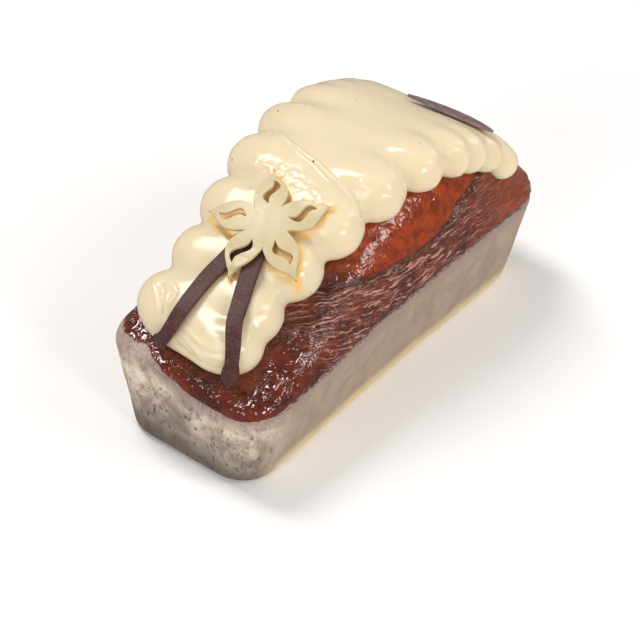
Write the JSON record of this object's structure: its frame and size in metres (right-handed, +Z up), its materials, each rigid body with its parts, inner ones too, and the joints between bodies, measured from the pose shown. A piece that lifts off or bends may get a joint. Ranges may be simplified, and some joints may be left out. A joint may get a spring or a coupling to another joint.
{
  "type": "pound cake loaf",
  "caption": "Tall tin-baked pound cake loaf with a glazed domed crust, vanilla cream piped over the top in a zigzag, and chocolate pieces laid on the cream.",
  "frame": {"origin": "middle of the flat underside of the loaf", "axes": "+Z up, +Y along the loaf towards the end without the flower, +X to the loaf's right side seen from the flower end"},
  "size_m": [0.0909, 0.191, 0.1016],
  "materials": {
    "crust": "wet glaze over dark baked crust, matte crumb on the tin sides",
    "vanilla_cream": "smooth wet cream",
    "white_chocolate": "satin white chocolate",
    "strip_chocolate": "matte dark chocolate with a pale speckle",
    "leaf_chocolate": "satin dark chocolate"
  },
  "bodies": {
    "root": {"loaf": "crust", "cream": "vanilla_cream", "flower": "white_chocolate", "pod_left": "strip_chocolate", "pod_right": "strip_chocolate", "leaf": "leaf_chocolate"}
  },
  "joints": []
}
